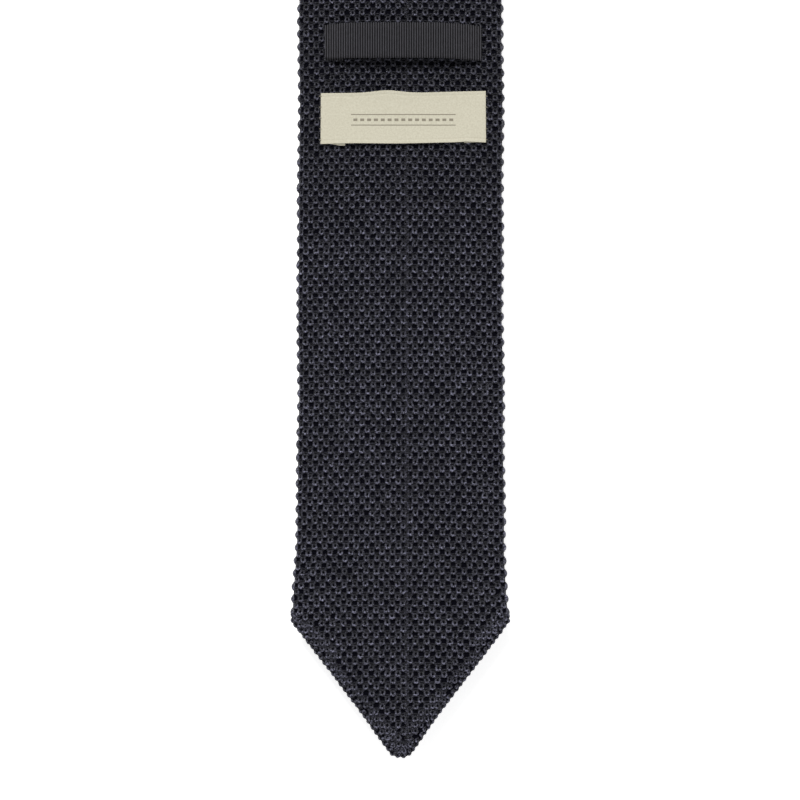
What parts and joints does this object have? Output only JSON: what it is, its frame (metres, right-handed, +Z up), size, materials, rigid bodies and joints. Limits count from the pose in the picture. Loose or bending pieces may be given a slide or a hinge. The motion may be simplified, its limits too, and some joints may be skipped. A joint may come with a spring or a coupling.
{
  "type": "knitted necktie",
  "caption": "Knitted silk necktie with a pointed blade, folded in four with its back up; has a ribbon keeper loop and a blank woven label.",
  "frame": {"origin": "on the surface that the folded tie lies on, under the middle of its bounding box", "axes": "+Z up, out of the back of the blade; +Y along the tie from the blade's tip to its fold; +X to the right when looking down at the back of the blade with the tip towards the viewer"},
  "size_m": [0.0698, 0.3994, 0.0203],
  "materials": {
    "knit_silk": "matte knitted silk, near-black navy, in a pitted stitch",
    "seam_thread": "twisted silk sewing thread",
    "label_cloth": "cream woven satin",
    "label_thread": "cream sewing thread",
    "keeper_ribbon": "ribbed black ribbon with a low sheen",
    "keeper_thread": "black sewing thread"
  },
  "bodies": {
    "crown": {"crown_front": "knit_silk", "crown_back_left": "knit_silk", "crown_back_right": "knit_silk", "crown_seam": "seam_thread", "first_turn_front": "knit_silk", "first_turn_back": "knit_silk"},
    "blade": {"blade_front": "knit_silk", "blade_back_left": "knit_silk", "blade_back_right": "knit_silk", "blade_seam": "seam_thread", "blade_tip_hem": "knit_silk", "label": "label_cloth", "label_end_flaps": "label_cloth", "label_stitches": "label_thread", "keeper_loop": "keeper_ribbon", "keeper_end_tucks": "keeper_ribbon", "keeper_stitches": "keeper_thread"},
    "upper": {"upper_front": "knit_silk", "upper_back_left": "knit_silk", "upper_back_right": "knit_silk", "upper_seam": "seam_thread", "second_turn_front": "knit_silk", "second_turn_back": "knit_silk"},
    "neck": {"neck_front": "knit_silk", "neck_back_left": "knit_silk", "neck_back_right": "knit_silk", "neck_seam": "seam_thread", "third_turn_front": "knit_silk", "third_turn_back": "knit_silk"},
    "tail": {"tail_front": "knit_silk", "tail_back_left": "knit_silk", "tail_back_right": "knit_silk", "tail_seam": "seam_thread", "tail_tip_hem": "knit_silk"}
  },
  "joints": [
    {"name": "blade_lift", "type": "hinge", "parent": "crown", "child": "blade", "pos_m": [0, 0.06645, 0.0144], "axis": [-1, 0, 0], "range_deg": [0, 60]},
    {"name": "first_fold", "type": "hinge", "parent": "crown", "child": "upper", "pos_m": [0, 0.1963, 0.011], "axis": [1, 0, 0], "range_deg": [0, 180], "deforming": ["first_turn_front", "first_turn_back"]},
    {"name": "second_fold", "type": "hinge", "parent": "upper", "child": "neck", "pos_m": [0, -0.1697, 0.0072], "axis": [-1, 0, 0], "range_deg": [0, 180], "deforming": ["second_turn_front", "second_turn_back"]},
    {"name": "third_fold", "type": "hinge", "parent": "neck", "child": "tail", "pos_m": [0, 0.1963, 0.0034], "axis": [1, 0, 0], "range_deg": [0, 180], "deforming": ["third_turn_front", "third_turn_back"]}
  ],
  "couplings": [
    {"joint": "third_fold", "follows": "second_fold", "ratio": 1}
  ]
}
